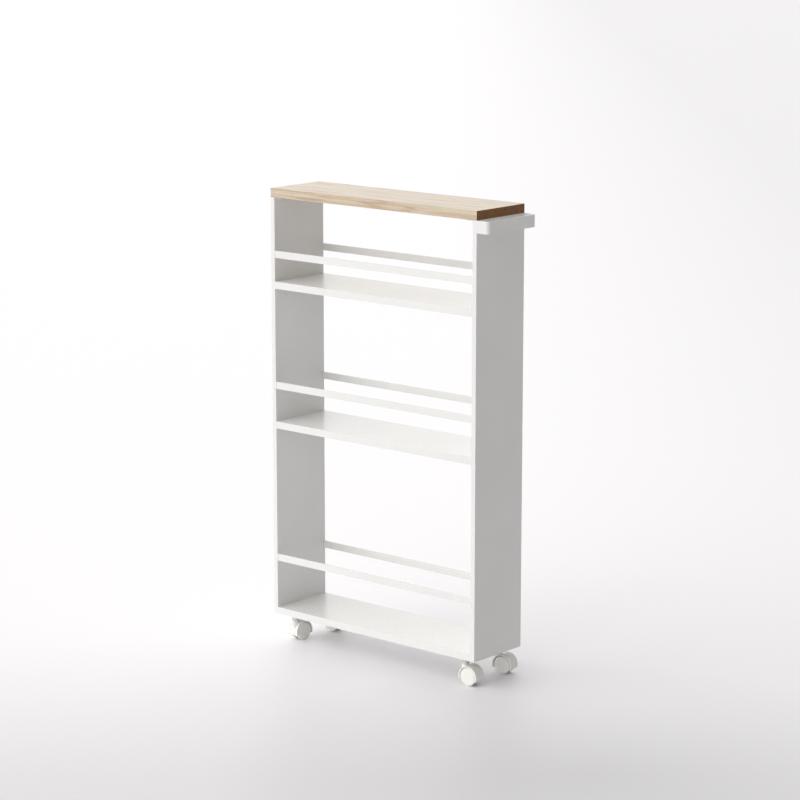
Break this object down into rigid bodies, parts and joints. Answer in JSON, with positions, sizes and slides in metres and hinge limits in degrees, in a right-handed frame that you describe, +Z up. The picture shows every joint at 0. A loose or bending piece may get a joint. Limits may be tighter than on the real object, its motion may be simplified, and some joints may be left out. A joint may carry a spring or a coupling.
{
  "type": "rolling utility cart",
  "caption": "Slim rolling storage cart with open trays, guard rails, hollow steel end panels, a wooden top board, an end push handle and twin-wheel swivel casters.",
  "frame": {"origin": "centre of the overall footprint, with the handle and the parked casters, at floor level", "axes": "+Z up from the floor; X along the cart, the handle at the +X end; the front of the cart faces -Y"},
  "size_m": [0.464, 0.12, 0.775],
  "materials": {
    "white_powder_coat": "satin, fine texture",
    "oak_veneer": "satin lacquer",
    "white_nylon": "satin",
    "zinc_steel": "bright zinc"
  },
  "bodies": {
    "carcass": {"top_board": "oak_veneer", "edge_bands": "oak_veneer", "board_screws": "zinc_steel", "left_panel_skin": "white_powder_coat", "right_panel_skin": "white_powder_coat", "left_panel_liner": "white_powder_coat", "right_panel_liner": "white_powder_coat", "bottom_tray": "white_powder_coat", "middle_tray": "white_powder_coat", "top_tray": "white_powder_coat", "bottom_front_rail": "white_powder_coat", "middle_front_rail": "white_powder_coat", "top_front_rail": "white_powder_coat", "bottom_back_rail": "white_powder_coat", "middle_back_rail": "white_powder_coat", "top_back_rail": "white_powder_coat", "tray_screws": "zinc_steel", "clinch_nuts": "zinc_steel", "push_handle": "white_powder_coat", "left_caster_bracket": "white_powder_coat", "right_caster_bracket": "white_powder_coat", "caster_nuts": "zinc_steel", "swivel_washers": "white_nylon", "stem_rings": "zinc_steel", "front_left_stem": "zinc_steel", "back_left_stem": "zinc_steel", "front_right_stem": "zinc_steel", "back_right_stem": "zinc_steel"},
    "front_left_caster": {"front_left_hood": "white_nylon", "front_left_axle": "zinc_steel"},
    "front_left_roller_1": {"front_left_wheel_1": "white_nylon"},
    "front_left_roller_2": {"front_left_wheel_2": "white_nylon"},
    "back_left_caster": {"back_left_hood": "white_nylon", "back_left_axle": "zinc_steel"},
    "back_left_roller_1": {"back_left_wheel_1": "white_nylon"},
    "back_left_roller_2": {"back_left_wheel_2": "white_nylon"},
    "front_right_caster": {"front_right_hood": "white_nylon", "front_right_axle": "zinc_steel"},
    "front_right_roller_1": {"front_right_wheel_1": "white_nylon"},
    "front_right_roller_2": {"front_right_wheel_2": "white_nylon"},
    "back_right_caster": {"back_right_hood": "white_nylon", "back_right_axle": "zinc_steel"},
    "back_right_roller_1": {"back_right_wheel_1": "white_nylon"},
    "back_right_roller_2": {"back_right_wheel_2": "white_nylon"}
  },
  "joints": [
    {"name": "front_left_swivel", "type": "hinge", "parent": "carcass", "child": "front_left_caster", "pos_m": [-0.2, -0.043, 0.033], "axis": [0, 0, 1], "continuous": true},
    {"name": "front_left_spin_1", "type": "hinge", "parent": "front_left_caster", "child": "front_left_roller_1", "pos_m": [-0.19895, -0.03105, 0.015], "axis": [-0.9962, 0.0872, 0], "continuous": true},
    {"name": "front_left_spin_2", "type": "hinge", "parent": "front_left_caster", "child": "front_left_roller_2", "pos_m": [-0.19895, -0.03105, 0.015], "axis": [-0.9962, 0.0872, 0], "continuous": true},
    {"name": "back_left_swivel", "type": "hinge", "parent": "carcass", "child": "back_left_caster", "pos_m": [-0.2, 0.043, 0.033], "axis": [0, 0, 1], "continuous": true},
    {"name": "back_left_spin_1", "type": "hinge", "parent": "back_left_caster", "child": "back_left_roller_1", "pos_m": [-0.188, 0.043, 0.015], "axis": [0, 1, 0], "continuous": true},
    {"name": "back_left_spin_2", "type": "hinge", "parent": "back_left_caster", "child": "back_left_roller_2", "pos_m": [-0.188, 0.043, 0.015], "axis": [0, 1, 0], "continuous": true},
    {"name": "front_right_swivel", "type": "hinge", "parent": "carcass", "child": "front_right_caster", "pos_m": [0.176, -0.043, 0.033], "axis": [0, 0, 1], "continuous": true},
    {"name": "front_right_spin_1", "type": "hinge", "parent": "front_right_caster", "child": "front_right_roller_1", "pos_m": [0.18799, -0.04258, 0.015], "axis": [-0.0349, 0.9994, 0], "continuous": true},
    {"name": "front_right_spin_2", "type": "hinge", "parent": "front_right_caster", "child": "front_right_roller_2", "pos_m": [0.18799, -0.04258, 0.015], "axis": [-0.0349, 0.9994, 0], "continuous": true},
    {"name": "back_right_swivel", "type": "hinge", "parent": "carcass", "child": "back_right_caster", "pos_m": [0.176, 0.043, 0.033], "axis": [0, 0, 1], "continuous": true},
    {"name": "back_right_spin_1", "type": "hinge", "parent": "back_right_caster", "child": "back_right_roller_1", "pos_m": [0.18788, 0.04467, 0.015], "axis": [-0.1392, 0.9903, 0], "continuous": true},
    {"name": "back_right_spin_2", "type": "hinge", "parent": "back_right_caster", "child": "back_right_roller_2", "pos_m": [0.18788, 0.04467, 0.015], "axis": [-0.1392, 0.9903, 0], "continuous": true}
  ]
}
